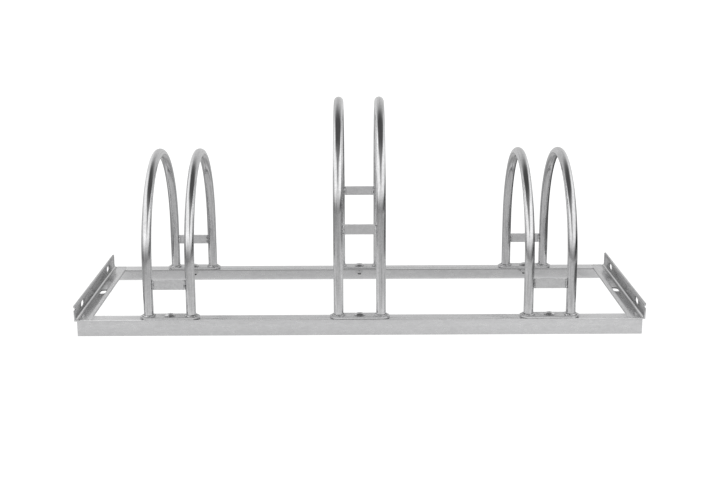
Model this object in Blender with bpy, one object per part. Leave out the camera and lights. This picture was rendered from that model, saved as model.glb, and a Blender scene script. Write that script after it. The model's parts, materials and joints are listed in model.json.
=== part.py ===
"""Bike parking stand for three wheels: pairs of bent tube hoops bolted to a frame of steel angle.

Units are metres and +Z is up. The origin is on the ground under the middle of the stand. X runs along the
rails, and a wheel is rolled in along Y, between the two hoops of a holder.
"""

import math

import bmesh
import bpy
from mathutils import Matrix, Vector

# Rolled steel angle, the section of the rails and of the end brackets
ANGLE_LEG = 0.030
ANGLE_WALL = 0.003
ANGLE_ROOT_RADIUS = 0.005
ANGLE_TOE_RADIUS = 0.002

# Frame
FRAME_LENGTH = 1.050
FRAME_DEPTH = 0.390
BRACKET_OVERHANG = 0.006
RAIL_HOLE_DIAMETER = 0.009
SLOT_WIDTH = 0.012
SLOT_LENGTH = 0.030
SLOT_FROM_HEEL = 0.016
WALL_SLOT_SPACING = 0.250

# Wheel holders
HOLDER_SPACING = 0.350
WHEEL_GAP = 0.060
FOOT_SPACING = 0.360
LOW_HOLDER_TOP = 0.314
HIGH_HOLDER_TOP = 0.414
TUBE_DIAMETER = 0.018
TUBE_WALL = 0.002
CROSSBAR_HEIGHT = 0.018
CROSSBAR_THICKNESS = 0.005
LOW_CROSSBAR_CENTRE = 0.093
HIGH_CROSSBAR_CENTRE = 0.196
PLATE_LENGTH = 0.110
PLATE_WIDTH = 0.028
PLATE_THICKNESS = 0.004
DRAIN_HOLE_DIAMETER = 0.008

# Weld beads
FOOT_WELD_LEG = 0.0033
CROSSBAR_WELD_LEG = 0.0035
BRACKET_WELD_LEG = 0.003
WELD_LIP = 0.0006
WELD_SINK = 0.0003

# M8 fasteners
BOLT_DIAMETER = 0.008
BOLT_LENGTH = 0.020
BOLT_TIP_CHAMFER = 0.0008
HEAD_DIAMETER = 0.020
HEAD_HEIGHT = 0.0043
HEAD_RIM = 0.0006
NECK_HEIGHT = 0.0034
WASHER_DIAMETER = 0.016
WASHER_THICKNESS = 0.0016
NUT_ACROSS_FLATS = 0.013
NUT_HEIGHT = 0.0065

# Gap left between pieces that touch
CLEARANCE = 0.0003

# How far a cutting shape runs past the faces that it cuts
BEYOND = 0.002

# Facets
TUBE_SIDES = 16
BORE_SIDES = 8
ARCH_STEPS = 18
ROUND_END_STEPS = 8
HOLE_SIDES = 12
FASTENER_SIDES = 16
NUT_CHAMFER_SIDES = 18

# Heights that follow from the sizes above
FLANGE_UNDERSIDE = ANGLE_LEG - ANGLE_WALL
PLATE_TOP = ANGLE_LEG + CLEARANCE + PLATE_THICKNESS
FOOT_HEIGHT = PLATE_TOP + CLEARANCE
WASHER_BASE = FLANGE_UNDERSIDE - CLEARANCE - WASHER_THICKNESS
NUT_BASE = WASHER_BASE - CLEARANCE - NUT_HEIGHT

# Distances that follow from the sizes above
HOOP_OFFSET = (WHEEL_GAP + TUBE_DIAMETER) / 2
LEG_REACH = FOOT_SPACING / 2
RAIL_LENGTH = FRAME_LENGTH - 2 * BRACKET_OVERHANG
BRACKET_LENGTH = FRAME_DEPTH - 2 * (ANGLE_WALL + CLEARANCE)
CLEAR_TUBE_RADIUS = TUBE_DIAMETER / 2 + CLEARANCE
CLEAR_BOLT_RADIUS = BOLT_DIAMETER / 2 + CLEARANCE

SMOOTH_BELOW = math.radians(40)


def clear_scene():
    for piece in list(bpy.data.objects):
        bpy.data.objects.remove(piece)


# Outlines


def arc(centre, radius, start, end, steps):
    """Points on an arc, from one angle to the other, in degrees."""
    angles = [math.radians(start + (end - start) * step / steps) for step in range(steps + 1)]
    return [(centre[0] + radius * math.cos(a), centre[1] + radius * math.sin(a)) for a in angles]


def angle_section():
    """Rolled angle: heel at the origin, one leg along each axis, rounded root and rounded inner toes."""
    leg, wall, root, toe = ANGLE_LEG, ANGLE_WALL, ANGLE_ROOT_RADIUS, ANGLE_TOE_RADIUS
    first_toe = arc((leg - toe, wall - toe), toe, 0, 90, 3)
    inner_root = arc((wall + root, wall + root), root, 270, 180, 5)
    second_toe = arc((wall - toe, leg - toe), toe, 0, 90, 3)
    return [(0, 0), (leg, 0)] + first_toe + inner_root + second_toe + [(0, leg)]


def round_ended(length, width, steps):
    """Outline with two straight sides and half-round ends, its length along the first axis."""
    radius = width / 2
    reach = length / 2 - radius
    return arc((reach, 0), radius, -90, 90, steps) + arc((-reach, 0), radius, 90, 270, steps)


def square(side):
    half = side / 2
    return [(-half, -half), (half, -half), (half, half), (-half, half)]


# Solids


def only(kind, geometry):
    return [item for item in geometry if isinstance(item, kind)]


def extrude(bm, geometry, offset):
    """Extrudes the faces in the geometry by the offset and returns the geometry at the new end."""
    grown = bmesh.ops.extrude_face_region(bm, geom=geometry)["geom"]
    bmesh.ops.translate(bm, verts=only(bmesh.types.BMVert, grown), vec=offset)
    return grown


def mesh_of(bm, name):
    bmesh.ops.recalc_face_normals(bm, faces=bm.faces[:])
    mesh = bpy.data.meshes.new(name)
    bm.to_mesh(mesh)
    bm.free()
    return mesh


def prism(name, outline, origin, first_axis, second_axis, run):
    """Solid of a flat outline, drawn along two axes from the origin and extruded by the vector run."""
    bm = bmesh.new()
    first, second = Vector(first_axis), Vector(second_axis)
    corners = [bm.verts.new(Vector(origin) + u * first + v * second) for u, v in outline]
    extrude(bm, [bm.faces.new(corners)], run)
    return mesh_of(bm, name)


def box(name, low, high):
    """Block between two opposite corners."""
    size = Vector(high) - Vector(low)
    outline = [(0, 0), (size.x, 0), (size.x, size.y), (0, size.y)]
    return prism(name, outline, low, (1, 0, 0), (0, 1, 0), (0, 0, size.z))


def upright_cylinder(name, radius, low, high, x=0.0, y=0.0, top_radius=None, sides=FASTENER_SIDES):
    """Cylinder, or cone where a top radius is given, standing between two heights."""
    bm = bmesh.new()
    middle = Matrix.Translation((x, y, (low + high) / 2))
    upper = radius if top_radius is None else top_radius
    depth = high - low
    bmesh.ops.create_cone(
        bm, cap_ends=True, segments=sides, radius1=radius, radius2=upper, depth=depth, matrix=middle
    )
    return mesh_of(bm, name)


def turned(name, profile, closed=False, sides=FASTENER_SIDES):
    """Solid turned about Z from (radius, height) points: a closed section, or a line from axis to axis."""
    bm = bmesh.new()
    points = [bm.verts.new((radius, 0, height)) for radius, height in profile]
    pairs = list(zip(points, points[1:]))
    if closed:
        pairs.append((points[-1], points[0]))
    edges = [bm.edges.new(pair) for pair in pairs]
    full_turn = 2 * math.pi
    bmesh.ops.spin(
        bm, geom=points + edges, cent=(0, 0, 0), axis=(0, 0, 1), angle=full_turn, steps=sides
    )
    bmesh.ops.remove_doubles(bm, verts=bm.verts[:], dist=1e-6)
    return mesh_of(bm, name)


def shaped(name, base, added=(), removed=(), kept=()):
    """Mesh of the base, after solids are fused to it, others cut from it, and the kept ones trim it."""
    steps = [("UNION", mesh) for mesh in added]
    steps += [("DIFFERENCE", mesh) for mesh in removed]
    steps += [("INTERSECT", mesh) for mesh in kept]
    body = bpy.data.objects.new(name, base)
    bpy.context.scene.collection.objects.link(body)
    helpers = []
    for operation, mesh in steps:
        helper = bpy.data.objects.new(mesh.name, mesh)
        helper.hide_render = True
        helper.display_type = "WIRE"
        bpy.context.scene.collection.objects.link(helper)
        helpers.append(helper)
        modifier = body.modifiers.new(mesh.name, "BOOLEAN")
        modifier.operation = operation
        modifier.object = helper
        modifier.solver = "EXACT"
    graph = bpy.context.evaluated_depsgraph_get()
    finished = bpy.data.meshes.new_from_object(body.evaluated_get(graph))
    finished.name = name
    for helper in helpers + [body]:
        bpy.data.objects.remove(helper)
    return finished


# Frame pieces


def rail():
    """Long rail: its outer face stands on the ground at y = 0, and its flange lies inwards at the top."""
    start = (-RAIL_LENGTH / 2, 0, ANGLE_LEG)
    bar = prism("rail_bar", angle_section(), start, (0, 1, 0), (0, 0, -1), (RAIL_LENGTH, 0, 0))
    # The flange is cut back at both ends, where the end bracket's flat leg takes its place.
    cut_line = FRAME_LENGTH / 2 - ANGLE_LEG - CLEARANCE
    cut_base = ANGLE_LEG - ANGLE_WALL - ANGLE_ROOT_RADIUS - BEYOND
    over_the_top = ANGLE_LEG + BEYOND
    removed = []
    for side in (-1, 1):
        near, far = sorted((side * cut_line, side * (RAIL_LENGTH / 2 + BEYOND)))
        removed.append(box("cope", (near, ANGLE_WALL, cut_base), (far, over_the_top, over_the_top)))
    flange_line = FRAME_DEPTH / 2 - LEG_REACH
    for x in (-HOLDER_SPACING, 0, HOLDER_SPACING):
        removed.append(
            upright_cylinder("hole", RAIL_HOLE_DIAMETER / 2, cut_base, over_the_top, x, flange_line)
        )
    return shaped("rail", bar, removed=removed)


def end_bracket():
    """End bracket: heel along Y at the origin, one leg flat along +X and one leg upright."""
    end = BRACKET_LENGTH / 2
    run = (0, BRACKET_LENGTH, 0)
    bar = prism("bracket_bar", angle_section(), (0, -end, 0), (1, 0, 0), (0, 0, 1), run)
    slot = round_ended(SLOT_LENGTH, SLOT_WIDTH, ROUND_END_STEPS)
    through = ANGLE_WALL + 2 * BEYOND
    middle = (SLOT_FROM_HEEL, 0, -BEYOND)
    slots = [prism("floor_slot", slot, middle, (0, 1, 0), (1, 0, 0), (0, 0, through))]
    # Under each end a fillet weld runs along the rail's upright leg.
    weld_start = BRACKET_OVERHANG + BRACKET_WELD_LEG
    weld_run = (ANGLE_LEG - BRACKET_WELD_LEG - weld_start, 0, 0)
    sunk = ANGLE_WALL / 2
    fillet = [(0, 0), (BRACKET_WELD_LEG + sunk, 0), (0, BRACKET_WELD_LEG + sunk)]
    welds = []
    for side in (-1, 1):
        middle = (-BEYOND, side * WALL_SLOT_SPACING / 2, SLOT_FROM_HEEL)
        slots.append(prism("wall_slot", slot, middle, (0, 1, 0), (0, 0, 1), (through, 0, 0)))
        corner = (weld_start, side * end, sunk)
        welds.append(prism("bracket_weld", fillet, corner, (0, -side, 0), (0, 0, -1), weld_run))
    return shaped("end_bracket", bar, added=welds, removed=slots)


# Wheel holder pieces


def hoop(top):
    """Tube bent to half a circle on two straight legs: feet on z = 0 and a bore that is open at both."""
    straight = top - FOOT_HEIGHT - LEG_REACH - TUBE_DIAMETER / 2
    bore_radius = TUBE_DIAMETER / 2 - TUBE_WALL
    bm = bmesh.new()
    foot = Matrix.Translation((0, -LEG_REACH, 0))
    bmesh.ops.create_circle(bm, segments=TUBE_SIDES, radius=TUBE_DIAMETER / 2, matrix=foot)
    bmesh.ops.create_circle(bm, segments=BORE_SIDES, radius=bore_radius, matrix=foot)
    ring = bmesh.ops.triangle_fill(bm, use_beauty=True, edges=bm.edges[:])["geom"]
    bend_start = extrude(bm, only(bmesh.types.BMFace, ring), (0, 0, straight))
    arch = bmesh.ops.spin(
        bm, geom=bend_start, cent=(0, 0, straight), axis=(1, 0, 0), angle=-math.pi, steps=ARCH_STEPS
    )
    extrude(bm, arch["geom_last"], (0, 0, -straight))
    return mesh_of(bm, "hoop")


def crossbar():
    """Flat bar between two legs, with weld metal that fills the corners up to the round of the tubes."""
    end = WHEEL_GAP / 2 - CLEARANCE
    face = CROSSBAR_THICKNESS / 2
    edge = CROSSBAR_HEIGHT / 2
    bar = box("bar", (-end, -face, -edge), (end, face, edge))
    # In plan each weld flares from inside the bar to behind the tube's wall, and the tube cuts it off.
    weld_start = end - CROSSBAR_WELD_LEG - WELD_LIP
    weld_end = HOOP_OFFSET - CLEAR_TUBE_RADIUS / 2
    inside = face - WELD_LIP
    flare = face + CROSSBAR_WELD_LEG
    plan = [(weld_start, -inside), (weld_end, -flare), (weld_end, flare), (weld_start, inside)]
    weld_base = (0, 0, WELD_LIP - edge)
    weld_height = (0, 0, CROSSBAR_HEIGHT - 2 * WELD_LIP)
    welds = []
    tubes = []
    for side in (-1, 1):
        welds.append(prism("bar_weld", plan, weld_base, (side, 0, 0), (0, 1, 0), weld_height))
        x = side * HOOP_OFFSET
        tubes.append(
            upright_cylinder("tube", CLEAR_TUBE_RADIUS, -2 * edge, 2 * edge, x, sides=2 * TUBE_SIDES)
        )
    return shaped("crossbar", bar, added=welds, removed=tubes)


def foot_plate():
    """Round-ended plate on z = 0 with a weld round each tube foot, drain holes and a square bolt hole."""
    outline = round_ended(PLATE_LENGTH, PLATE_WIDTH, ROUND_END_STEPS)
    plate = prism("plate", outline, (0, 0, 0), (1, 0, 0), (0, 1, 0), (0, 0, PLATE_THICKNESS))
    weld_base = PLATE_THICKNESS - WELD_SINK
    weld_top = PLATE_THICKNESS + FOOT_WELD_LEG
    lip = CLEAR_TUBE_RADIUS + WELD_LIP
    toe = lip + FOOT_WELD_LEG + WELD_SINK
    drain = DRAIN_HOLE_DIAMETER / 2
    welds = []
    removed = []
    for x in (-HOOP_OFFSET, HOOP_OFFSET):
        welds.append(upright_cylinder("foot_weld", toe, weld_base, weld_top, x, top_radius=lip))
        removed.append(
            upright_cylinder("seat", CLEAR_TUBE_RADIUS, PLATE_THICKNESS, weld_top + BEYOND, x)
        )
        removed.append(upright_cylinder("drain", drain, -BEYOND, weld_top, x, sides=HOLE_SIDES))
    through = PLATE_THICKNESS + 2 * BEYOND
    neck_hole = square(2 * CLEAR_BOLT_RADIUS)
    removed.append(prism("neck_hole", neck_hole, (0, 0, -BEYOND), (1, 0, 0), (0, 1, 0), (0, 0, through)))
    return shaped("foot_plate", plate, added=welds, removed=removed)


# Fasteners


def bolt():
    """Mushroom-head bolt hanging from z = 0, with a square neck under its domed head."""
    shank = BOLT_DIAMETER / 2
    head = HEAD_DIAMETER / 2
    crown = HEAD_HEIGHT - HEAD_RIM
    sphere = (head**2 + crown**2) / (2 * crown)
    rim_angle = math.degrees(math.acos(head / sphere))
    dome = arc((0, HEAD_HEIGHT - sphere), sphere, 90, rim_angle, 5)
    chamfer_start = (shank, BOLT_TIP_CHAMFER - BOLT_LENGTH)
    chamfer_end = (shank - BOLT_TIP_CHAMFER, -BOLT_LENGTH)
    profile = dome + [(head, 0), (shank, 0), chamfer_start, chamfer_end, (0, -BOLT_LENGTH)]
    neck = box("neck", (-shank, -shank, -NECK_HEIGHT), (shank, shank, HEAD_RIM))
    return shaped("bolt", turned("turned_bolt", profile), added=[neck])


def washer():
    """Flat washer lying on z = 0."""
    inner, outer, top = CLEAR_BOLT_RADIUS, WASHER_DIAMETER / 2, WASHER_THICKNESS
    return turned("washer", [(inner, 0), (outer, 0), (outer, top), (inner, top)], closed=True)


def nut():
    """Hexagon nut standing on z = 0, its corners chamfered at both faces."""
    flat = NUT_ACROSS_FLATS / 2
    corner = flat / math.cos(math.radians(30))
    hexagon = upright_cylinder("hexagon", corner, 0, NUT_HEIGHT, sides=6)
    past_corner = corner + BEYOND
    rise = (past_corner - flat) * math.tan(math.radians(30))
    lower = [(0, -BEYOND), (flat, -BEYOND), (flat, 0), (past_corner, rise)]
    upper = [(radius, NUT_HEIGHT - height) for radius, height in reversed(lower)]
    barrel = turned("barrel", lower + upper, sides=NUT_CHAMFER_SIDES)
    bore = upright_cylinder("bore", CLEAR_BOLT_RADIUS, -BEYOND, NUT_HEIGHT + BEYOND)
    return shaped("nut", hexagon, removed=[bore], kept=[barrel])


# Finish and assembly


def zinc(name, tone, roughness):
    """Hot-dip zinc: a pale grey metal."""
    material = bpy.data.materials.new(name)
    material.use_nodes = True
    shader = material.node_tree.nodes["Principled BSDF"]
    shader.inputs["Base Color"].default_value = (tone, tone, tone * 1.02, 1.0)
    shader.inputs["Metallic"].default_value = 0.9
    shader.inputs["Roughness"].default_value = roughness
    return material


def finish(mesh, material, smooth=False):
    """Gives the mesh its material, and smooth shading across its shallow edges where it is round."""
    mesh.materials.clear()
    mesh.materials.append(material)
    if smooth:
        mesh.shade_smooth()
        mesh.set_sharp_from_angle(angle=SMOOTH_BELOW)
    return mesh


def group(name, parent=None, location=(0, 0, 0)):
    empty = bpy.data.objects.new(name, None)
    bpy.context.scene.collection.objects.link(empty)
    empty.parent = parent
    empty.location = location
    return empty


def place(name, mesh, parent, location, turn=0.0):
    piece = bpy.data.objects.new(name, mesh)
    bpy.context.scene.collection.objects.link(piece)
    piece.parent = parent
    piece.location = location
    piece.rotation_euler.z = turn
    return piece


def build_frame(stand):
    rail_mesh = finish(rail(), zinc("rail_zinc", 0.52, 0.5))
    bracket_mesh = finish(end_bracket(), zinc("bracket_zinc", 0.48, 0.45))
    edge = FRAME_DEPTH / 2
    end = FRAME_LENGTH / 2
    place("front_rail", rail_mesh, stand, (0, -edge, 0))
    place("rear_rail", rail_mesh, stand, (0, edge, 0), math.pi)
    place("left_end_bracket", bracket_mesh, stand, (-end, 0, FLANGE_UNDERSIDE))
    place("right_end_bracket", bracket_mesh, stand, (end, 0, FLANGE_UNDERSIDE), math.pi)


def build_holders(stand):
    tube_zinc = zinc("hoop_zinc", 0.5, 0.3)
    low_hoop = finish(hoop(LOW_HOLDER_TOP), tube_zinc, smooth=True)
    high_hoop = finish(hoop(HIGH_HOLDER_TOP), tube_zinc, smooth=True)
    bar_mesh = finish(crossbar(), zinc("crossbar_zinc", 0.48, 0.5))
    plate_mesh = finish(foot_plate(), zinc("plate_zinc", 0.46, 0.5), smooth=True)
    bolt_mesh = finish(bolt(), zinc("bolt_zinc", 0.42, 0.35), smooth=True)
    washer_mesh = finish(washer(), zinc("washer_zinc", 0.45, 0.4), smooth=True)
    nut_mesh = finish(nut(), zinc("nut_zinc", 0.42, 0.4))

    holders = (
        ("left", -HOLDER_SPACING, low_hoop, LOW_CROSSBAR_CENTRE),
        ("middle", 0, high_hoop, HIGH_CROSSBAR_CENTRE),
        ("right", HOLDER_SPACING, low_hoop, LOW_CROSSBAR_CENTRE),
    )
    for side, x, hoop_mesh, bar_height in holders:
        holder = group(f"{side}_holder", stand, (x, 0, 0))
        place(f"{side}_holder_hoop_left", hoop_mesh, holder, (-HOOP_OFFSET, 0, FOOT_HEIGHT))
        place(f"{side}_holder_hoop_right", hoop_mesh, holder, (HOOP_OFFSET, 0, FOOT_HEIGHT))
        for row, y in (("front", -LEG_REACH), ("rear", LEG_REACH)):
            place(f"{side}_holder_crossbar_{row}", bar_mesh, holder, (0, y, bar_height))
            place(f"{side}_holder_plate_{row}", plate_mesh, holder, (0, y, ANGLE_LEG + CLEARANCE))
            place(f"{side}_holder_bolt_{row}", bolt_mesh, holder, (0, y, FOOT_HEIGHT))
            place(f"{side}_holder_washer_{row}", washer_mesh, holder, (0, y, WASHER_BASE))
            place(f"{side}_holder_nut_{row}", nut_mesh, holder, (0, y, NUT_BASE))


def main():
    clear_scene()
    stand = group("bike_stand")
    build_frame(stand)
    build_holders(stand)


main()
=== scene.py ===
"""Looks of the bike parking stand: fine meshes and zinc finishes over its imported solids.

Units are metres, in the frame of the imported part: X along the rails, Y the way a wheel rolls in, Z up.
"""

import json
import math

import bmesh
import bpy
from mathutils import Matrix, Vector, noise


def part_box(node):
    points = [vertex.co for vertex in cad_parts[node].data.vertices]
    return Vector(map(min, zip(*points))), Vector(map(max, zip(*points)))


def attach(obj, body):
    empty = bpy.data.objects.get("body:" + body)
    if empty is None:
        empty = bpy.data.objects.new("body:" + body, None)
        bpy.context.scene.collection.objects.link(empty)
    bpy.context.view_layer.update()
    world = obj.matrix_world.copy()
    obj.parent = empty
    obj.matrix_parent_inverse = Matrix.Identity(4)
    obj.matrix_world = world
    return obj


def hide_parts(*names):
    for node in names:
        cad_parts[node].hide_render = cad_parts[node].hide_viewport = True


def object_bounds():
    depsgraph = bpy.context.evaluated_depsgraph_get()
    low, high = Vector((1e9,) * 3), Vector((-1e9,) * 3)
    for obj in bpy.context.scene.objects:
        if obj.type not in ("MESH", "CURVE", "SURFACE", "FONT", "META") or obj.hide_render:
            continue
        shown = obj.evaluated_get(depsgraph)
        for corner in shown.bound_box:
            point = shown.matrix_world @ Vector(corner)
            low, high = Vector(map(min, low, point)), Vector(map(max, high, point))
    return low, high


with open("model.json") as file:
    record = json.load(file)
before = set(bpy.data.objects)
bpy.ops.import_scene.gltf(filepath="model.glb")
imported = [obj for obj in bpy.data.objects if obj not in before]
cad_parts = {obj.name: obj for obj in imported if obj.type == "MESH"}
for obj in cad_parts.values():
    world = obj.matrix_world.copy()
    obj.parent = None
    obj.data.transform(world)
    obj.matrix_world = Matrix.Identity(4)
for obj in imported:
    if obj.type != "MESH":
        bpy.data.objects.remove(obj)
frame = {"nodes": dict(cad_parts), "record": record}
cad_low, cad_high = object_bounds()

# Camera of the photograph: its place, its angles in degrees, its lens and sensor in millimetres
CAMERA_PLACE = (-0.00335, -2.39755, 0.71027)
CAMERA_TURN = 0.110
CAMERA_PITCH = 13.5425
CAMERA_ROLL = -0.230
CAMERA_LENS = 62.694
SENSOR_WIDTH = 36.0

# Rolled steel angle of the rails and end brackets
ANGLE_LEG = 0.030
ANGLE_WALL = 0.003
HEEL_RADIUS = 0.0007
TOE_RADIUS = 0.002
ROOT_RADIUS = 0.005
EDGE_ROUND = 0.0004
SLOT_WIDTH = 0.012
SLOT_LENGTH = 0.030
SLOT_FROM_HEEL = 0.016
WALL_SLOT_SPACING = 0.250
HOLE_DIAMETER = 0.009
GAP = 0.0003

# Small notch in the front end of each bracket's upright leg
NOTCH_WIDTH = 0.0045
NOTCH_DEPTH = 0.007
NOTCH_BELOW_TOP = 0.0067

# Wheel holders
TUBE_RADIUS = 0.009
TUBE_WALL = 0.002
BEND_RADIUS = 0.180
CROSSBAR_THICKNESS = 0.005
CROSSBAR_HALF_LENGTH = 0.0297
PLATE_THICKNESS = 0.004
PLATE_EDGE_ROUND = 0.0006
DRAIN_HOLE_DIAMETER = 0.008
NECK_HOLE = 0.0086

# Weld beads: the step along them, and how their size ripples, varies and tapers to the tips, in shares of it
BEAD_STEP = 0.00027
BEAD_RIPPLE = 0.0016
BEAD_BASE = 0.86
BEAD_RIPPLE_SHARE = 0.12
BEAD_UNEVEN_SHARE = 0.16
BEAD_UNEVEN_WAVES = 300
BEAD_TIP_SHARE = 0.15
BEAD_TIP_STATIONS = 4
# Their size and place in each kind of corner
END_BEAD_START = 0.009
END_BEAD_LENGTH = 0.0185
END_BEAD_SET_BACK = 0.0003
END_BEAD_SUNK = 0.0004
TOP_BEAD_RADIUS = 0.0009
UNDER_BEAD_RADIUS = 0.0021
CROSSBAR_BEAD_RADIUS = 0.0021
CROSSBAR_BEAD_INSET = 0.0008
CROSSBAR_BEAD_MARGIN = 0.0006
FOOT_BEAD_RADIUS = 0.0019
FOOT_BEAD_OUT = 0.0016
FOOT_BEAD_UP = 0.0007
FOOT_BEAD_STATIONS = 120

# Weld between a bracket's flat leg and a rail's flange, ground level with both
LEVEL_WELD_LAP = 0.0006
LEVEL_WELD_LIFT = 0.00002

# M8 fasteners
BOLT_DIAMETER = 0.008
THREAD_PITCH = 0.00125
THREAD_DEPTH = 0.0007
THREAD_HALF_CREST = 1 / 12
THREAD_FLANK = 1 / 3
TIP_CHAMFER = 0.0008
HEAD_HEIGHT = 0.0043
HEAD_RIM = 0.0006
HEAD_UNDERCUT = 0.0002
NECK_HEIGHT = 0.0034
WASHER_EDGE_ROUND = 0.0003
NUT_SIDES = 6
NUT_ACROSS_FLATS = 0.013
NUT_COUNTERSINK = 0.0006
# A cone of this slope cuts a nut's corners back, from a circle that is this far inside the flats
NUT_CHAMFER = math.radians(30)
NUT_FACE_INSET = 0.0002

# How far a cutting shape runs past the faces that it cuts, and a drill's length in thicknesses of its sheet
BEYOND = 0.002
DRILL_LENGTH = 4

# Facets
TUBE_SIDES = 48
ARCH_STEPS = 90
ARC_STEPS = 8
ROUND_END_STEPS = 24
FASTENER_SIDES = 48
HEAD_STEPS = 24
WASHER_EDGE_STEPS = 3
THREAD_STEPS = 10
BEAD_SIDES = 14
EDGE_SEGMENTS = 2
STUDIO_SUBDIVISIONS = 5
SMOOTH_BELOW = math.radians(40)
# Corners closer than this are made one
SHORTEST_EDGE = 1e-6

# Finish of each kind of piece: its tone and roughness, and how strong its blotches, speckle and bumps are
RAIL_FINISH = dict(tone=0.675, roughness=0.3, mottle=0.03, speckle=0.03, bump=0.02, grain=(0.35, 1, 1))
BRACKET_FINISH = dict(tone=0.62, roughness=0.24, mottle=0.03, speckle=0.03, grain=(1, 0.45, 1))
TUBE_FINISH = dict(tone=0.62, roughness=0.14, mottle=0.04, speckle=0.045)
CROSSBAR_FINISH = dict(tone=0.69, roughness=0.34, mottle=0.05, speckle=0.06, bump=0.03)
PLATE_FINISH = dict(tone=0.62, roughness=0.3)
BOLT_FINISH = dict(tone=0.6, roughness=0.14, mottle=0.03, speckle=0.03)
# A bolt's thread: a dark tone that is painted shade and reflection under a rail's flange
THREAD_PAINTED_SHADE = dict(tone=0.24, roughness=0.2, mottle=0.03, speckle=0.03)
WASHER_FINISH = dict(tone=0.7, roughness=0.2, mottle=0.03, speckle=0.03)
NUT_FINISH = dict(tone=0.55, roughness=0.2, mottle=0.03, speckle=0.03)
WELD_FINISH = dict(tone=0.5, roughness=0.16, mottle=0.12, speckle=0.45, bump=0.6)
# Walls of the slots: a dark tone that is painted shade inside them
CUT_WALL_PAINTED_SHADE = dict(tone=0.28, roughness=0.3, mottle=0.03, speckle=0.03)

# Patterns in the zinc, as (waves per metre, detail, roughness of the noise)
BLOTCHES = (45.0, 3.0, 0.5)
PATCHES = (190.0, 3.0, 0.6)
GRAINS = (700.0, 2.0, 0.7)
STREAKS = (420.0, 2.0, 0.6)
NOISE_RANGE = (0.3, 0.7)
STREAK_TONE = 0.09
STREAK_RELIEF = 8.0
STREAK_STRETCH = 0.04
ROUGHNESS_SPREAD = 0.05
BUMP_HEIGHT = 0.0003
ZINC_BLUE = 1.01

# Painted light and shade on a rail: tone factors from its foot to its top, or along it
RAIL_OUTER_TONES = (0.9, 1.0)
RAIL_INNER_TONES = (1.1, 0.93)
RAIL_LIP_SHADE_TONE = 0.6
RAIL_TOP_LIGHT_TONE = 1.08
RAIL_RIGHT_LIGHT_REACH = (-0.1, 0.3)
RAIL_RIGHT_LIGHT_TONE = 1.07

# Painted reflected light on the sides that the middle holder's hoops turn to each other: its tone factor, and
# how far off the tube's axis it starts and is full
FACING_LIGHT_TONE = 1.22
FACING_REACH = (0.003, 0.007)

# Painted light on a foot plate's side faces and painted shade on its upper edges, as tone factors, and the
# width of those edges
PLATE_SIDE_LIGHT_TONE = 1.12
PLATE_EDGE_SHADE_TONE = 0.72
PLATE_EDGE_BAND = 0.0009

# Painted shade and light on a bracket: tone factors by the distance from the corner between its legs
FLAT_REACH = (0.002, 0.022)
FLAT_TONES = (0.44, 1.12)
UPRIGHT_REACH = (0.003, 0.026)
UPRIGHT_TONES = (0.44, 0.9)
BRACKET_LIP_SHADE_TONE = 0.62
# The same where its flat leg comes to a rail, and painted light at the rear end of its upright leg
BY_RAIL_REACH = (0.105, 0.165)
BY_RAIL_FLAT_REACH = (0.002, 0.012)
BY_RAIL_TONES = (0.8, 1.08)
REAR_END_REACH = (0.145, 0.175)
REAR_END_LIGHT_TONE = 1.2
# Painted highlight along that corner, where the product of the distances to both legs is large enough
FOLD_REACH = (1.5e-6, 2.0e-6)
FOLD_HIGHLIGHT_TONE = 2.6
FOLD_WIDTH = 0.006

# Width of a lip's painted shade, and how near to a face still counts as on it
LIP_BAND = 0.0011
ON_FACE = 0.0003

# Places in a piece's list of materials
WELD = 1
CUT = 2
THREAD = 1

# Floor. Its glow is given as (metres past the stand's outline, brightness); the dimmer glow within the
# outline is a painted shadow of the stand
FLOOR_REACH = 40.0
FLOOR_WHITE = 1.0
FLOOR_TONE = 0.1
FLOOR_GLOW = (
    (-0.2, 0.54), (-0.02, 0.54), (0.0, 0.74), (0.1, 0.74), (0.2, 0.57), (0.5, 0.54), (0.7, 0.48),
    (0.9, 0.43), (1.1, 0.4), (1.2, 0.32),
)
# Share of the glow that is left behind the stand, on its left, and on its right, where a dark strip lies
# between a near and a far line. The near one slants inwards behind the stand
FLOOR_BEHIND = ((0.22, 1.0), (0.3, 0.56), (0.48, 0.56), (0.7, 0.9))
FLOOR_LEFT = ((0.55, 1.0), (0.9, 0.5))
FLOOR_RIGHT_NEAR = ((0.58, 1.0), (0.73, 0.05))
FLOOR_RIGHT_FAR = ((0.96, 0.05), (1.06, 0.7))
FLOOR_RIGHT_START = (-0.6, -0.4)
FLOOR_RIGHT_SLANT = 0.28

# Studio light on a dome over the stand, as (degrees from the front up and over to the back, brightness)
DOME_RADIUS = 1.4
STUDIO_MIDDLE = (
    (0, 0.36), (6, 0.46), (13, 0.75), (20, 0.92), (26, 0.78), (32, 0.42), (50, 0.36), (60, 0.3), (68, 0.2),
    (76, 0.11), (100, 0.1), (108, 0.16), (116, 0.34), (124, 0.52), (134, 0.68), (160, 0.7), (180, 0.66),
)
STUDIO_SIDES = (
    (0, 0.32), (6, 0.38), (11, 0.52), (15, 0.78), (20, 1.06), (28, 1.4), (44, 1.3), (68, 1.4), (108, 1.3),
    (120, 1.05), (150, 0.95), (180, 0.8),
)
STUDIO_LEFT_END = ((0, 0.16), (25, 0.26), (45, 0.8), (110, 0.9), (135, 0.6), (160, 0.4), (180, 0.35))
STUDIO_RIGHT_END = (
    (0, 0.2), (28, 0.2), (45, 0.5), (65, 0.9), (110, 0.8), (135, 0.4), (155, 0.15), (180, 0.1),
)
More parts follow.
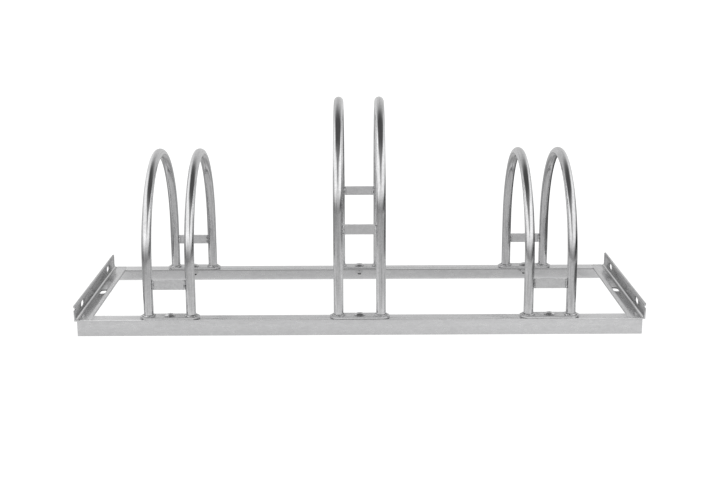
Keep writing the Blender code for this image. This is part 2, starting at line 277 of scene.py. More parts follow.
# Degrees sideways: the middle of the dark slot, its half width, and where the ends start
STUDIO_CENTRE = ((0, 3), (60, 1), (88, 3), (110, 3), (125, 2), (180, 2))
STUDIO_HALF_WIDTH = (
    (0, 8), (28, 9), (40, 12), (50, 15), (60, 24), (68, 31), (76, 35), (110, 37), (125, 34), (180, 34),
)
STUDIO_BLEND = 9.0
STUDIO_END = 64.0
STUDIO_END_BLEND = 7.0
# Low on its right the dome has a dark band: its reach along X, and (height, light that is left), both as
# shares of the dome's radius
STUDIO_BAND_REACH = (0.55, 0.92)
STUDIO_BAND = ((0.02, 1.0), (0.055, 0.08), (0.17, 0.08), (0.28, 1.0))

SIDES = ("left", "middle", "right")
HANDS = ("left", "right")
ROWS = ("front", "rear")


# Outlines


def arc(centre, radius, start, end, steps=ARC_STEPS):
    """Points on an arc, from one angle to the other, in degrees."""
    angles = [math.radians(start + (end - start) * step / steps) for step in range(steps + 1)]
    return [(centre[0] + radius * math.cos(a), centre[1] + radius * math.sin(a)) for a in angles]


def angle_section():
    """Rolled angle with its heel at the origin and one leg along each axis."""
    leg, wall, root, toe, heel = ANGLE_LEG, ANGLE_WALL, ROOT_RADIUS, TOE_RADIUS, HEEL_RADIUS
    first_toe = arc((leg - toe, wall - toe), toe, 0, 90)
    inner_root = arc((wall + root, wall + root), root, 270, 180)
    second_toe = arc((wall - toe, leg - toe), toe, 0, 90)
    return arc((heel, heel), heel, 180, 270) + [(leg, 0)] + first_toe + inner_root + second_toe + [(0, leg)]


def round_ended(length, width):
    """Outline with two straight sides and half-round ends, its length along the first axis."""
    radius = width / 2
    reach = length / 2 - radius
    ends = arc((reach, 0), radius, -90, 90, ROUND_END_STEPS)
    return ends + arc((-reach, 0), radius, 90, 270, ROUND_END_STEPS)


# Solids, each as a bmesh


def only(kind, geometry):
    """The items of one kind in a list of corners, edges and faces."""
    return [item for item in geometry if isinstance(item, kind)]


def extrude(bm, geometry, offset):
    """Extrudes the faces in the geometry by the offset and returns the geometry at the new end."""
    grown = bmesh.ops.extrude_face_region(bm, geom=geometry)["geom"]
    bmesh.ops.translate(bm, verts=only(bmesh.types.BMVert, grown), vec=offset)
    return grown


def prism(outline, origin, first_axis, second_axis, run):
    """Solid of a flat outline, drawn along two axes from the origin and extruded by the vector run."""
    bm = bmesh.new()
    first, second = Vector(first_axis), Vector(second_axis)
    corners = [bm.verts.new(Vector(origin) + u * first + v * second) for u, v in outline]
    extrude(bm, [bm.faces.new(corners)], run)
    return bm


def box(one, other):
    """Block between any two opposite corners."""
    low = Vector([min(pair) for pair in zip(one, other)])
    size = Vector([max(pair) for pair in zip(one, other)]) - low
    outline = [(0, 0), (size.x, 0), (size.x, size.y), (0, size.y)]
    return prism(outline, low, (1, 0, 0), (0, 1, 0), (0, 0, size.z))


def cylinder(radius, middle, depth, sides=FASTENER_SIDES):
    """Upright cylinder about the point middle."""
    bm = bmesh.new()
    place = Matrix.Translation(middle)
    bmesh.ops.create_cone(
        bm, cap_ends=True, segments=sides, radius1=radius, radius2=radius, depth=depth, matrix=place
    )
    return bm


def turned(profile, centre, closed=False):
    """Solid turned about an upright axis from (radius, height) points, heights measured from the centre."""
    bm = bmesh.new()
    start = Vector(centre)
    points = [bm.verts.new(start + Vector((radius, 0, height))) for radius, height in profile]
    pairs = list(zip(points, points[1:]))
    if closed:
        pairs.append((points[-1], points[0]))
    edges = [bm.edges.new(pair) for pair in pairs]
    bmesh.ops.spin(
        bm, geom=points + edges, cent=start, axis=(0, 0, 1), angle=2 * math.pi, steps=FASTENER_SIDES
    )
    bmesh.ops.remove_doubles(bm, verts=bm.verts[:], dist=SHORTEST_EDGE)
    return bm


def tube_of_rings(rings, closed=False):
    """Solid skinned over rings of points. Open ends are capped, and a closed one runs back to its start."""
    bm = bmesh.new()
    loops = [[bm.verts.new(point) for point in ring] for ring in rings]
    pairs = list(zip(loops, loops[1:]))
    if closed:
        pairs.append((loops[-1], loops[0]))
    else:
        bm.faces.new(loops[0])
        bm.faces.new(loops[-1])
    for one, other in pairs:
        for index in range(len(one)):
            after = (index + 1) % len(one)
            bm.faces.new((one[index], one[after], other[after], other[index]))
    return bm


def painted(bm, index):
    """Gives every face of the solid the material of that index."""
    for face in bm.faces:
        face.material_index = index
    return bm


def bead(path, radius, closed=False):
    """Weld bead along (point, first axis, second axis) stations: rippled, a little uneven, weld finish."""
    rings = []
    run = 0.0
    before = path[0][0]
    for station, (point, first, second) in enumerate(path):
        run += (point - before).length
        before = point
        ripple = abs(math.sin(math.pi * run / BEAD_RIPPLE))
        uneven = noise.noise(point * BEAD_UNEVEN_WAVES)
        size = radius * (BEAD_BASE + BEAD_RIPPLE_SHARE * ripple + BEAD_UNEVEN_SHARE * uneven)
        if not closed:
            from_tip = min(station, len(path) - 1 - station) / BEAD_TIP_STATIONS
            size *= math.sqrt(min(1.0, BEAD_TIP_SHARE + from_tip))
        turns = [2 * math.pi * side / BEAD_SIDES for side in range(BEAD_SIDES)]
        rings.append([point + size * (math.cos(a) * first + math.sin(a) * second) for a in turns])
    return painted(tube_of_rings(rings, closed), WELD)


def straight_bead(start, end, first_axis, second_axis, radius):
    """Weld bead from one point to another, its rings drawn along two axes."""
    start, end, first, second = (Vector(given) for given in (start, end, first_axis, second_axis))
    count = round((end - start).length / BEAD_STEP)
    return bead([(start.lerp(end, station / count), first, second) for station in range(count + 1)], radius)


# Meshes and pieces


def as_object(bm, materials):
    """Object of the solid, with its faces turned outwards."""
    bmesh.ops.recalc_face_normals(bm, faces=bm.faces[:])
    mesh = bpy.data.meshes.new("mesh")
    bm.to_mesh(mesh)
    bm.free()
    for material in materials:
        mesh.materials.append(material)
    made = bpy.data.objects.new("solid", mesh)
    bpy.context.scene.collection.objects.link(made)
    return made


def clean(mesh):
    """Dissolves the edges without length and the corners in mid-edge that booleans leave in the mesh."""
    bm = bmesh.new()
    bm.from_mesh(mesh)
    bmesh.ops.dissolve_degenerate(bm, dist=SHORTEST_EDGE, edges=bm.edges[:])
    bmesh.ops.dissolve_verts(bm, verts=[corner for corner in bm.verts if len(corner.link_edges) == 2])
    bm.to_mesh(mesh)
    bm.free()


def worked(materials, base, removed=(), edge=0.0, added=()):
    """Mesh of the base, after solids are cut from it, its sharp edges rounded, and others fused to it."""
    body = as_object(base, materials)
    helpers = []

    def combine(operation, solids):
        for solid in solids:
            helper = as_object(solid, materials)
            helpers.append(helper)
            modifier = body.modifiers.new(operation, "BOOLEAN")
            modifier.operation = operation
            modifier.object = helper
            modifier.solver = "EXACT"

    combine("DIFFERENCE", removed)
    if edge:
        bevel = body.modifiers.new("edge", "BEVEL")
        bevel.width = edge
        bevel.segments = EDGE_SEGMENTS
        bevel.limit_method = "ANGLE"
        bevel.angle_limit = SMOOTH_BELOW
    combine("UNION", added)
    graph = bpy.context.evaluated_depsgraph_get()
    mesh = bpy.data.meshes.new_from_object(body.evaluated_get(graph))
    for helper in helpers + [body]:
        bpy.data.objects.remove(helper)
    clean(mesh)
    return mesh


def add_piece(mesh, name, nodes):
    """Turns the mesh into a piece that stands for the CAD nodes and rides on the frame."""
    mesh.name = name
    mesh.shade_smooth()
    mesh.set_sharp_from_angle(angle=SMOOTH_BELOW)
    piece = bpy.data.objects.new(name, mesh)
    bpy.context.scene.collection.objects.link(piece)
    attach(piece, "root")
    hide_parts(*nodes)
    return piece


# Shader nodes


class Nodes:
    """Short names for adding nodes to one node tree."""

    def __init__(self, owner):
        self.tree = owner.node_tree

    def node(self, kind, inputs=(), **settings):
        """Adds a node, sets its properties, and sets or links its inputs."""
        made = self.tree.nodes.new(kind)
        for name, value in settings.items():
            setattr(made, name, value)
        for name, value in dict(inputs).items():
            if isinstance(value, bpy.types.NodeSocket):
                self.tree.links.new(value, made.inputs[name])
            else:
                made.inputs[name].default_value = value
        return made

    def math(self, operation, first, second=0.0):
        return self.node("ShaderNodeMath", {0: first, 1: second}, operation=operation).outputs[0]

    def place(self):
        """Point on the surface, in the part's own frame."""
        return self.node("ShaderNodeTexCoord").outputs["Object"]

    def split(self, vector):
        """The X, Y and Z of a vector."""
        parts = self.node("ShaderNodeSeparateXYZ", {0: vector})
        return [parts.outputs[axis] for axis in "XYZ"]

    def noise(self, place, scale, detail, roughness):
        inputs = {"Vector": place, "Scale": scale, "Detail": detail, "Roughness": roughness}
        return self.node("ShaderNodeTexNoise", inputs).outputs["Fac"]

    def remap(self, value, low, high, new_low, new_high, smooth=False):
        inputs = {"Value": value, "From Min": low, "From Max": high, "To Min": new_low, "To Max": new_high}
        kind = "SMOOTHSTEP" if smooth else "LINEAR"
        return self.node("ShaderNodeMapRange", inputs, interpolation_type=kind).outputs["Result"]

    def mix(self, share, first, second):
        inputs = {"Factor": share, "A": first, "B": second}
        return self.node("ShaderNodeMix", inputs, data_type="FLOAT").outputs["Result"]

    def curve(self, value, points):
        """Value read off straight lines between (input, output) points."""
        low, high = points[0][0], points[-1][0]
        span = max(height for place, height in points)
        made = self.node("ShaderNodeValToRGB", {"Fac": self.remap(value, low, high, 0.0, 1.0)})
        stops = made.color_ramp.elements
        while len(stops) < len(points):
            stops.new(0.5)
        for stop, (place, height) in zip(stops, points):
            stop.position = (place - low) / (high - low)
            stop.color = (height / span,) * 3 + (1.0,)
        return self.math("MULTIPLY", made.outputs["Color"], span)


# Finishes, with painted light and shade


def zinc(
    name, tone, roughness, mottle=0.05, speckle=0.05, bump=0.05, grain=(1, 1, 1), arch_centre=None, shade=None
):
    """Hot-dip zinc: soft blotches, fine speckle and a slightly rough skin, drawn out along a bent tube.

    The pattern is stretched where grain is below 1, and shade is a function that adds a factor for the tone,
    with painted light and shade.
    """
    material = bpy.data.materials.new(name)
    material.use_nodes = True
    nodes = Nodes(material)
    shader = material.node_tree.nodes["Principled BSDF"]
    place = nodes.place()
    drawn = nodes.node("ShaderNodeVectorMath", {0: place, 1: grain}, operation="MULTIPLY").outputs[0]
    blotches = nodes.noise(drawn, *BLOTCHES)
    patches = nodes.noise(drawn, *PATCHES)
    grains = nodes.noise(drawn, *GRAINS)
    light = nodes.remap(blotches, *NOISE_RANGE, tone - mottle / 2, tone + mottle / 2)
    extras = [
        nodes.remap(patches, *NOISE_RANGE, -mottle, mottle),
        nodes.remap(grains, *NOISE_RANGE, -speckle, speckle),
    ]
    relief = grains
    if arch_centre is not None:
        streaks = nodes.noise(along_tube(nodes, place, arch_centre), *STREAKS)
        extras.append(nodes.remap(streaks, *NOISE_RANGE, -STREAK_TONE, STREAK_TONE))
        relief = nodes.math("ADD", grains, nodes.math("MULTIPLY", streaks, STREAK_RELIEF))
    for extra in extras:
        light = nodes.math("ADD", light, extra)
    if shade is not None:
        light = nodes.math("MULTIPLY", light, shade(nodes, place))
    channels = {"Red": light, "Green": light, "Blue": nodes.math("MULTIPLY", light, ZINC_BLUE)}
    colour = nodes.node("ShaderNodeCombineColor", channels)
    nodes.tree.links.new(colour.outputs[0], shader.inputs["Base Color"])
    shader.inputs["Metallic"].default_value = 1.0
    dulness = nodes.remap(patches, *NOISE_RANGE, roughness + ROUGHNESS_SPREAD, roughness - ROUGHNESS_SPREAD)
    nodes.tree.links.new(dulness, shader.inputs["Roughness"])
    skin = nodes.node("ShaderNodeBump", {"Strength": bump, "Distance": BUMP_HEIGHT, "Height": relief})
    nodes.tree.links.new(skin.outputs["Normal"], shader.inputs["Normal"])
    return material


def along_tube(nodes, place, arch_centre):
    """Pattern place that follows a hoop from foot to foot, so that what is drawn there runs along it."""
    x, y, z = nodes.split(place)
    above = nodes.math("SUBTRACT", z, arch_centre)
    bend = nodes.math("MAXIMUM", above, 0.0)
    squares = nodes.math("ADD", nodes.math("MULTIPLY", y, y), nodes.math("MULTIPLY", bend, bend))
    reach = nodes.math("SQRT", squares)
    turn = nodes.math("ARCTAN2", bend, y)
    run = nodes.math("ADD", nodes.math("MULTIPLY", turn, BEND_RADIUS), nodes.math("MINIMUM", above, 0.0))
    stretched = nodes.math("MULTIPLY", run, STREAK_STRETCH)
    return nodes.node("ShaderNodeCombineXYZ", {0: x, 1: reach, 2: stretched}).outputs[0]


def rail_painted_shade(nodes, place):
    """Tone factor of a rail, painted shade and light: darker towards the ground outside and lighter inside, a
    painted shadow under its flange's lip, painted light on its top and, outside, towards the right.
    """
    x, y, height = nodes.split(place)
    across = nodes.math("ABSOLUTE", y)
    inside = nodes.math("LESS_THAN", across, cad_high.y - ANGLE_WALL / 2)
    inner = nodes.remap(height, 0.0, ANGLE_LEG, *RAIL_INNER_TONES)
    along = nodes.remap(x, *RAIL_RIGHT_LIGHT_REACH, 1.0, RAIL_RIGHT_LIGHT_TONE)
    outer = nodes.math("MULTIPLY", nodes.remap(height, 0.0, ANGLE_LEG, *RAIL_OUTER_TONES), along)
    face = nodes.mix(inside, outer, inner)
    above_lip = nodes.math("GREATER_THAN", height, ANGLE_LEG - ANGLE_WALL - LIP_BAND)
    below_top = nodes.math("LESS_THAN", height, ANGLE_LEG - LIP_BAND)
    lip = nodes.math("MULTIPLY", nodes.math("MULTIPLY", above_lip, below_top), inside)
    top = nodes.math("GREATER_THAN", height, ANGLE_LEG - ON_FACE)
    return nodes.mix(top, nodes.mix(lip, face, RAIL_LIP_SHADE_TONE), RAIL_TOP_LIGHT_TONE)


def facing_painted_light(nodes, place):
    """Tone factor of the middle hoops: painted reflected light brightens the sides that they turn to each
    other.
    """
    low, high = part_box("middle_holder_hoop_right")
    x = nodes.split(place)[0]
    towards_middle = nodes.math("SUBTRACT", (low.x + high.x) / 2, nodes.math("ABSOLUTE", x))
    return nodes.remap(towards_middle, *FACING_REACH, 1.0, FACING_LIGHT_TONE, smooth=True)


def plate_painted_shade(nodes, place):
    """Tone factor of a foot plate: painted shade on its long upper edges, and painted light on its side
    faces.
    """
    low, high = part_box("left_holder_plate_rear")
    y, height = nodes.split(place)[1:]
    from_centre_line = nodes.math("SUBTRACT", nodes.math("ABSOLUTE", y), (low.y + high.y) / 2)
    across = nodes.math("ABSOLUTE", from_centre_line)
    on_side = nodes.math("GREATER_THAN", across, (high.y - low.y) / 2 - PLATE_EDGE_BAND)
    on_top = nodes.math("GREATER_THAN", height, low.z + PLATE_THICKNESS - PLATE_EDGE_BAND)
    return nodes.mix(on_side, 1.0, nodes.mix(on_top, PLATE_SIDE_LIGHT_TONE, PLATE_EDGE_SHADE_TONE))


def bracket_painted_shade(nodes, place):
    """Tone factor of an end bracket: painted shade by the corner between its legs, with a painted highlight
    along it.
    """
    x, y, z = nodes.split(place)
    out = nodes.math("SUBTRACT", cad_high.x - ANGLE_WALL, nodes.math("ABSOLUTE", x))
    up = nodes.math("SUBTRACT", z, ANGLE_LEG)
    lip = nodes.math("GREATER_THAN", out, ANGLE_LEG - ANGLE_WALL - LIP_BAND)
    flat = nodes.mix(lip, nodes.remap(out, *FLAT_REACH, *FLAT_TONES), BRACKET_LIP_SHADE_TONE)
    by_rail = nodes.remap(nodes.math("ABSOLUTE", y), *BY_RAIL_REACH, 0.0, 1.0, smooth=True)
    flat = nodes.mix(by_rail, flat, nodes.remap(out, *BY_RAIL_FLAT_REACH, *BY_RAIL_TONES))
    at_rear = nodes.remap(y, *REAR_END_REACH, 0.0, 1.0, smooth=True)
    upright = nodes.mix(at_rear, nodes.remap(up, *UPRIGHT_REACH, *UPRIGHT_TONES), REAR_END_LIGHT_TONE)
    tone = nodes.mix(nodes.math("GREATER_THAN", up, out), flat, upright)
    by_fold = nodes.math("LESS_THAN", nodes.math("ADD", out, up), FOLD_WIDTH)
    fold = nodes.remap(nodes.math("MULTIPLY", out, up), *FOLD_REACH, 1.0, FOLD_HIGHLIGHT_TONE)
    tone = nodes.math("MULTIPLY", tone, nodes.mix(by_fold, 1.0, fold))
    past_upright = nodes.math("GREATER_THAN", out, -ON_FACE)
    over_flat = nodes.math("GREATER_THAN", up, -ON_FACE)
    return nodes.mix(nodes.math("MULTIPLY", past_upright, over_flat), 1.0, tone)


# Frame pieces


def rail(row, materials):
    """Long rail with its outer face on the ground and its flange inwards at the top."""
    node = row + "_rail"
    low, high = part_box(node)
    inward = 1 if row == "front" else -1
    outer = low.y if row == "front" else high.y
    start = (low.x, outer, high.z)
    bar = prism(angle_section(), start, (0, inward, 0), (0, 0, -1), (high.x - low.x, 0, 0))
    cut_base = high.z - ANGLE_WALL - ROOT_RADIUS - BEYOND
    inner = outer + inward * ANGLE_WALL
    past_flange = outer + inward * (ANGLE_LEG + BEYOND)
    removed = []
    for hand in HANDS:
        bracket_low, bracket_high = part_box(hand + "_end_bracket")
        edge = bracket_high.x + GAP if hand == "left" else bracket_low.x - GAP
        end = low.x - BEYOND if hand == "left" else high.x + BEYOND
        removed.append(box((edge, inner, cut_base), (end, past_flange, high.z + BEYOND)))
    for side in SIDES:
        bolt_low, bolt_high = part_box(f"{side}_holder_bolt_{row}")
        middle = (bolt_low + bolt_high) / 2
        removed.append(cylinder(HOLE_DIAMETER / 2, (middle.x, middle.y, high.z), DRILL_LENGTH * ANGLE_WALL))
    mesh = worked(materials, bar, removed, EDGE_ROUND)
    add_piece(mesh, node + "_angle", [node])


def end_bracket(hand, materials):
    """End bracket with one leg flat towards the middle, one upright, and its welds to both rails."""
    node = hand + "_end_bracket"
    low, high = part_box(node)
    inward = 1 if hand == "left" else -1
    heel = low.x if hand == "left" else high.x
    base = high.z - ANGLE_LEG
    top = base + ANGLE_WALL
    run = (0, high.y - low.y, 0)
    bar = prism(angle_section(), (heel, low.y, base), (inward, 0, 0), (0, 0, 1), run)
    slot = round_ended(SLOT_LENGTH, SLOT_WIDTH)
    notch = round_ended(2 * NOTCH_DEPTH, NOTCH_WIDTH)
    through = ANGLE_WALL + 2 * BEYOND
    sideways = (inward * through, 0, 0)
    across = (heel + inward * SLOT_FROM_HEEL, 0, base - BEYOND)
    at_notch = (heel - inward * BEYOND, low.y, high.z - NOTCH_BELOW_TOP)
    # The slot walls take the cut material, whose dark tone is painted shade
    removed = [
        painted(prism(slot, across, (0, 1, 0), (1, 0, 0), (0, 0, through)), CUT),
        prism(notch, at_notch, (0, 1, 0), (0, 0, 1), sideways),
    ]
    added = []
    for end, end_y in ((-1, low.y), (1, high.y)):
        at_slot = (heel - inward * BEYOND, end * WALL_SLOT_SPACING / 2, base + SLOT_FROM_HEEL)
        removed.append(painted(prism(slot, at_slot, (0, 1, 0), (0, 0, 1), sideways), CUT))
        y = end_y - end * END_BEAD_SET_BACK
        near = heel + inward * END_BEAD_START
        far = near + inward * END_BEAD_LENGTH
        for z, radius in ((top - END_BEAD_SUNK, TOP_BEAD_RADIUS), (base - END_BEAD_SUNK, UNDER_BEAD_RADIUS)):
            added.append(straight_bead((near, y, z), (far, y, z), (0, 1, 0), (0, 0, 1), radius))
        lip = heel + inward * ANGLE_LEG
        on_leg = (lip - inward * (TOE_RADIUS + GAP), end_y, base + GAP)
        flange_edge = end * (cad_high.y - ANGLE_LEG)
        on_flange = (lip + inward * (GAP + LEVEL_WELD_LAP), flange_edge, top + LEVEL_WELD_LIFT)
        added.append(box(on_leg, on_flange))
    mesh = worked(materials, bar, removed, EDGE_ROUND, added)
    add_piece(mesh, node + "_angle", [node])


# Wheel holder pieces


def hoop(node, material):
    """Bent tube with an open bore, where its CAD node is."""
    low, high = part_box(node)
    radius = (high.x - low.x) / 2
    reach = high.y - radius
    x = (low.x + high.x) / 2
    straight = high.z - radius - reach - low.z
    bm = bmesh.new()
    foot = Matrix.Translation((x, -reach, low.z))
    bmesh.ops.create_circle(bm, segments=TUBE_SIDES, radius=radius, matrix=foot)
    bmesh.ops.create_circle(bm, segments=TUBE_SIDES, radius=radius - TUBE_WALL, matrix=foot)
    ring = bmesh.ops.bridge_loops(bm, edges=bm.edges[:])["faces"]
    start = extrude(bm, ring, (0, 0, straight))
    centre = (x, 0, low.z + straight)
    arch = bmesh.ops.spin(bm, geom=start, cent=centre, axis=(1, 0, 0), angle=-math.pi, steps=ARCH_STEPS)
    extrude(bm, arch["geom_last"], (0, 0, -straight))
    mesh = worked([material], bm)
    add_piece(mesh, node + "_tube", [node])


def crossbar(node, materials):
    """Flat bar with its edges eased, and a weld bead in each corner against the tubes."""
    low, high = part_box(node)
    middle = (low + high) / 2
    face = CROSSBAR_THICKNESS / 2
    end = CROSSBAR_HALF_LENGTH
    bar = box((middle.x - end, middle.y - face, low.z), (middle.x + end, middle.y + face, high.z))
    foot = low.z + CROSSBAR_BEAD_MARGIN
    head = high.z - CROSSBAR_BEAD_MARGIN
    added = []
    for side in (-1, 1):
        for front in (-1, 1):
            x = middle.x + side * (end - CROSSBAR_BEAD_INSET)
            y = middle.y + front * (face + CROSSBAR_BEAD_INSET)
            ends = ((x, y, foot), (x, y, head))
            added.append(straight_bead(*ends, (1, 0, 0), (0, 1, 0), CROSSBAR_BEAD_RADIUS))
    mesh = worked(materials, bar, (), EDGE_ROUND, added)
    add_piece(mesh, node + "_bar", [node])


def foot_plate(side, row, materials):
    """Round-ended plate with a square bolt hole and drain holes, and a weld bead round each tube's foot."""
    node = f"{side}_holder_plate_{row}"
    low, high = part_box(node)
    middle = (low + high) / 2
    outline = round_ended(high.x - low.x, high.y - low.y)
    base = (middle.x, middle.y, low.z)
    top = low.z + PLATE_THICKNESS
    plate = prism(outline, base, (1, 0, 0), (0, 1, 0), (0, 0, PLATE_THICKNESS))
    neck = Vector((NECK_HOLE / 2, NECK_HOLE / 2, PLATE_THICKNESS))
    removed = [box(middle - neck, middle + neck)]
    added = []
    for hand in HANDS:
        hoop_low, hoop_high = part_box(f"{side}_holder_hoop_{hand}")
        x = (hoop_low.x + hoop_high.x) / 2
        removed.append(cylinder(DRAIN_HOLE_DIAMETER / 2, (x, middle.y, top), DRILL_LENGTH * PLATE_THICKNESS))
        ring = (hoop_high.x - hoop_low.x) / 2 + FOOT_BEAD_OUT
        foot = Vector((x, middle.y, top + FOOT_BEAD_UP))
        path = []
        for station in range(FOOT_BEAD_STATIONS):
            turn = 2 * math.pi * station / FOOT_BEAD_STATIONS
            outward = Vector((math.cos(turn), math.sin(turn), 0))
            path.append((foot + ring * outward, outward, Vector((0, 0, 1))))
        added.append(bead(path, FOOT_BEAD_RADIUS, closed=True))
    mesh = worked(materials, plate, removed, PLATE_EDGE_ROUND, added)
    add_piece(mesh, node + "_flat", [node])


# Fasteners


def threaded_rod(centre, low, high):
    """Rod with a helical thread and a chamfered tip, between two heights."""
    half = BOLT_DIAMETER / 2
    rise = THREAD_PITCH / THREAD_STEPS
    rings = []
    for step in range(int((high - low) / rise) + 1):
        z = low + step * rise
        at_tip = half - TIP_CHAMFER + (z - low)
        ring = []
        for side in range(FASTENER_SIDES):
            share = side / FASTENER_SIDES
            phase = (z / THREAD_PITCH - share) % 1.0
            down_flank = (abs(phase - 0.5) - THREAD_HALF_CREST) / THREAD_FLANK
            radius = min(at_tip, half - THREAD_DEPTH * min(1.0, max(0.0, down_flank)))
            turn = 2 * math.pi * share
            ring.append((centre.x + radius * math.cos(turn), centre.y + radius * math.sin(turn), z))
        rings.append(ring)
    return tube_of_rings(rings)


def bolt(node, materials):
    """Mushroom-head bolt with a square neck and a threaded shank."""
    low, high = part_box(node)
    middle = (low + high) / 2
    head_base = high.z - HEAD_HEIGHT
    head = high.x - middle.x
    crown = HEAD_HEIGHT - HEAD_RIM
    sphere = (head**2 + crown**2) / (2 * crown)
    rim_angle = math.degrees(math.acos(head / sphere))
    dome = arc((0, HEAD_HEIGHT - sphere), sphere, 90, rim_angle, HEAD_STEPS)
    profile = dome + [(head, HEAD_RIM / 2), (head - HEAD_UNDERCUT, 0), (0, 0)]
    button = turned(profile, (middle.x, middle.y, head_base))
    half = BOLT_DIAMETER / 2
    neck_low = (middle.x - half, middle.y - half, head_base - NECK_HEIGHT)
    neck = box(neck_low, (middle.x + half, middle.y + half, head_base + HEAD_RIM))
    # The shank takes the thread material, whose dark tone is painted shade and reflection
    rod = painted(threaded_rod(middle, low.z, head_base), THREAD)
    mesh = worked(materials, button, added=[neck, rod])
    add_piece(mesh, node + "_thread", [node])


def washer(node, material):
    """Flat washer with rounded edges."""
    low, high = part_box(node)
    middle = (low + high) / 2
    ease = WASHER_EDGE_ROUND
    outer = high.x - middle.x - ease
    inner = BOLT_DIAMETER / 2 + GAP + ease
    top = high.z - low.z - ease
    profile = []
    for corner, start in (((outer, ease), -90), ((outer, top), 0), ((inner, top), 90), ((inner, ease), 180)):
        profile += arc(corner, ease, start, start + 90, WASHER_EDGE_STEPS)
    mesh = worked([material], turned(profile, (middle.x, middle.y, low.z), closed=True))
    add_piece(mesh, node + "_ring", [node])


def nut(node, material):
    """Hexagon nut with its corners chamfered at both faces and a countersunk bore."""
    low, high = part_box(node)
    middle = (low + high) / 2
    height = high.z - low.z
    flat = NUT_ACROSS_FLATS / 2
    corner = flat / math.cos(math.pi / NUT_SIDES)
    hexagon = cylinder(corner, middle, height, NUT_SIDES)
    face = flat - NUT_FACE_INSET
    past = corner + BEYOND
    slope = math.tan(NUT_CHAMFER)
    top = height + BEYOND
    lower = [(face - BEYOND / slope, -BEYOND), (past, (past - face) * slope)]
    upper = [(radius, height - level) for radius, level in reversed(lower)]
    outside = [(past + BEYOND, top), (past + BEYOND, -BEYOND)]
    collar = turned(lower + upper + outside, (middle.x, middle.y, low.z), closed=True)
    bore = BOLT_DIAMETER / 2 + GAP
    hole = [(0, -BEYOND), (bore + NUT_COUNTERSINK + BEYOND, -BEYOND), (bore, NUT_COUNTERSINK)]
    hole += [(radius, height - level) for radius, level in reversed(hole)]
    drill = turned(hole, (middle.x, middle.y, low.z))
    mesh = worked([material], hexagon, [collar, drill])
    add_piece(mesh, node + "_hexagon", [node])


# Floor, light and camera


def stage(name, bm):
    """Stage object of the solid with a new material, and that material's nodes and shader."""
    mesh = bpy.data.meshes.new(name)
    bm.to_mesh(mesh)
    bm.free()
    made = bpy.data.objects.new(name, mesh)
    bpy.context.scene.collection.objects.link(made)
    material = bpy.data.materials.new(name)
    material.use_nodes = True
    mesh.materials.append(material)
    shader = material.node_tree.nodes["Principled BSDF"]
    shader.inputs["Emission Color"].default_value = (1, 1, 1, 1)
    return made, Nodes(material), shader


def floor():
    """Plain pale floor, far larger than the stand. It glows a little, as a sweep lit from all sides does,
    with a painted shadow of the stand in that glow.
    """
    bm = bmesh.new()
    bmesh.ops.create_grid(bm, x_segments=1, y_segments=1, size=FLOOR_REACH)
    nodes, shader = stage("floor", bm)[1:]
    x, y = nodes.split(nodes.place())[:2]
    past_side = nodes.math("SUBTRACT", nodes.math("ABSOLUTE", x), cad_high.x)
    past_rail = nodes.math("SUBTRACT", nodes.math("ABSOLUTE", y), cad_high.y)
    glow = nodes.curve(nodes.math("MAXIMUM", past_side, past_rail), FLOOR_GLOW)
    behind = nodes.curve(y, FLOOR_BEHIND)
    left = nodes.curve(nodes.math("MULTIPLY", x, -1.0), FLOOR_LEFT)
    slanted = nodes.math("ADD", x, nodes.math("MULTIPLY", nodes.math("MAXIMUM", y, 0.0), FLOOR_RIGHT_SLANT))
    near = nodes.curve(slanted, FLOOR_RIGHT_NEAR)
    right = nodes.math("MAXIMUM", near, nodes.curve(x, FLOOR_RIGHT_FAR))
    beside = nodes.remap(y, *FLOOR_RIGHT_START, 0.0, 1.0, smooth=True)
    for share in (behind, left, nodes.mix(beside, 1.0, right)):
        glow = nodes.math("MULTIPLY", glow, share)
    seen = nodes.node("ShaderNodeLightPath").outputs["Is Camera Ray"]
    nodes.tree.links.new(nodes.mix(seen, glow, FLOOR_WHITE), shader.inputs["Emission Strength"])
    shader.inputs["Base Color"].default_value = (FLOOR_TONE, FLOOR_TONE, FLOOR_TONE, 1)
    shader.inputs["Roughness"].default_value = 1.0


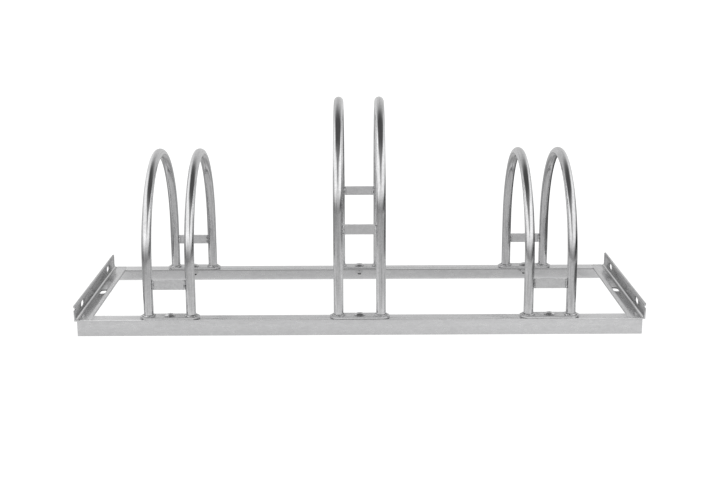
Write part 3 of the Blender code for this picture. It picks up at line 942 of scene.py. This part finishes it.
def studio():
    """Soft white light tent: bright panels along each side, a dark slot over the middle, dim ends.

    The tent stands as near as a real one does, so that each hoop reflects it a little differently.
    """
    bm = bmesh.new()
    bmesh.ops.create_icosphere(bm, subdivisions=STUDIO_SUBDIVISIONS, radius=DOME_RADIUS)
    made, nodes, shader = stage("studio", bm)
    made.visible_camera = False
    made.visible_shadow = False
    direction = nodes.node("ShaderNodeVectorMath", {0: nodes.place()}, operation="NORMALIZE").outputs[0]
    x, y, z = nodes.split(direction)
    ahead = nodes.math("MULTIPLY", y, -1.0)
    over = nodes.math("MULTIPLY", nodes.math("ARCTAN2", z, ahead), math.degrees(1))
    sideways = nodes.math("MULTIPLY", nodes.math("ARCSINE", x), math.degrees(1))
    from_centre = nodes.math("ABSOLUTE", nodes.math("SUBTRACT", sideways, nodes.curve(over, STUDIO_CENTRE)))
    past_slot = nodes.math("SUBTRACT", from_centre, nodes.curve(over, STUDIO_HALF_WIDTH))
    share = nodes.remap(past_slot, -STUDIO_BLEND, STUDIO_BLEND, 0.0, 1.0, smooth=True)
    light = nodes.mix(share, nodes.curve(over, STUDIO_MIDDLE), nodes.curve(over, STUDIO_SIDES))
    for side, levels in ((-1, STUDIO_LEFT_END), (1, STUDIO_RIGHT_END)):
        past_end = nodes.math("SUBTRACT", nodes.math("MULTIPLY", sideways, side), STUDIO_END)
        share = nodes.remap(past_end, -STUDIO_END_BLEND, STUDIO_END_BLEND, 0.0, 1.0, smooth=True)
        light = nodes.mix(share, light, nodes.curve(over, levels))
    in_reach = nodes.remap(x, *STUDIO_BAND_REACH, 0.0, 1.0)
    light = nodes.math("MULTIPLY", light, nodes.mix(in_reach, 1.0, nodes.curve(z, STUDIO_BAND)))
    nodes.tree.links.new(light, shader.inputs["Emission Strength"])
    shader.inputs["Base Color"].default_value = (0, 0, 0, 1)
    shader.inputs["Specular IOR Level"].default_value = 0.0

    world = bpy.data.worlds.new("white")
    bpy.context.scene.world = world
    world.use_nodes = True
    background = world.node_tree.nodes["Background"]
    background.inputs["Color"].default_value = (FLOOR_WHITE, FLOOR_WHITE, FLOOR_WHITE, 1)


def camera():
    """Camera of the photograph, aimed by its turn, pitch and roll."""
    data = bpy.data.cameras.new("camera")
    data.lens = CAMERA_LENS
    data.sensor_width = SENSOR_WIDTH
    made = bpy.data.objects.new("camera", data)
    bpy.context.scene.collection.objects.link(made)
    turn, pitch, roll = (math.radians(angle) for angle in (CAMERA_TURN, CAMERA_PITCH, CAMERA_ROLL))
    ahead = Vector((math.sin(turn) * math.cos(pitch), math.cos(turn) * math.cos(pitch), -math.sin(pitch)))
    right = Vector((math.cos(turn), -math.sin(turn), 0))
    up = right.cross(ahead)
    rolled_right = math.cos(roll) * right + math.sin(roll) * up
    rolled_up = -math.sin(roll) * right + math.cos(roll) * up
    turned_to = Matrix((rolled_right, rolled_up, -ahead)).transposed().to_4x4()
    made.matrix_world = Matrix.Translation(CAMERA_PLACE) @ turned_to
    bpy.context.scene.camera = made


def main():
    camera()
    studio()
    floor()
    # Materials by slot; the rail, bracket and plate ones carry painted light and shade
    slot_materials = {
        "rail_zinc": zinc("rail_zinc_painted_light_and_shade", **RAIL_FINISH, shade=rail_painted_shade),
        "bracket_zinc": zinc("bracket_zinc_painted_light_and_shade", **BRACKET_FINISH, shade=bracket_painted_shade),
        "hoop_zinc": zinc("hoop_finish", **TUBE_FINISH),
        "crossbar_zinc": zinc("crossbar_finish", **CROSSBAR_FINISH),
        "plate_zinc": zinc("plate_zinc_painted_light_and_shade", **PLATE_FINISH, shade=plate_painted_shade),
        "bolt_zinc": zinc("bolt_finish", **BOLT_FINISH),
        "washer_zinc": zinc("washer_finish", **WASHER_FINISH),
        "nut_zinc": zinc("nut_finish", **NUT_FINISH),
    }
    thread = zinc("thread_painted_shade", **THREAD_PAINTED_SHADE)
    weld = zinc("weld_finish", **WELD_FINISH)
    cut = zinc("cut_wall_painted_shade", **CUT_WALL_PAINTED_SHADE)
    # The imported solids themselves, in the material of their slot, painted light and shade included
    for part in frame["record"]["subparts"]:
        node = frame["nodes"][part["node"]]
        node.data.materials.clear()
        node.data.materials.append(slot_materials[part["material_slot"]])
    for row in ROWS:
        rail(row, [slot_materials["rail_zinc"]])
    for hand in HANDS:
        end_bracket(hand, [slot_materials["bracket_zinc"], weld, cut])
    for side in SIDES:
        arch_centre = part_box(f"{side}_holder_hoop_left")[1].z - BEND_RADIUS - TUBE_RADIUS
        # The middle hoops get painted reflected light on the sides they turn to each other
        shade = facing_painted_light if side == "middle" else None
        tube_material = zinc(f"{side}_hoop_finish", **TUBE_FINISH, arch_centre=arch_centre, shade=shade)
        for hand in HANDS:
            hoop(f"{side}_holder_hoop_{hand}", tube_material)
        for row in ROWS:
            crossbar(f"{side}_holder_crossbar_{row}", [slot_materials["crossbar_zinc"], weld])
            foot_plate(side, row, [slot_materials["plate_zinc"], weld])
            bolt(f"{side}_holder_bolt_{row}", [slot_materials["bolt_zinc"], thread])
            washer(f"{side}_holder_washer_{row}", slot_materials["washer_zinc"])
            nut(f"{side}_holder_nut_{row}", slot_materials["nut_zinc"])


main()
bpy.context.scene.view_settings.view_transform = "Standard"
bpy.context.scene.cycles.use_denoising = True
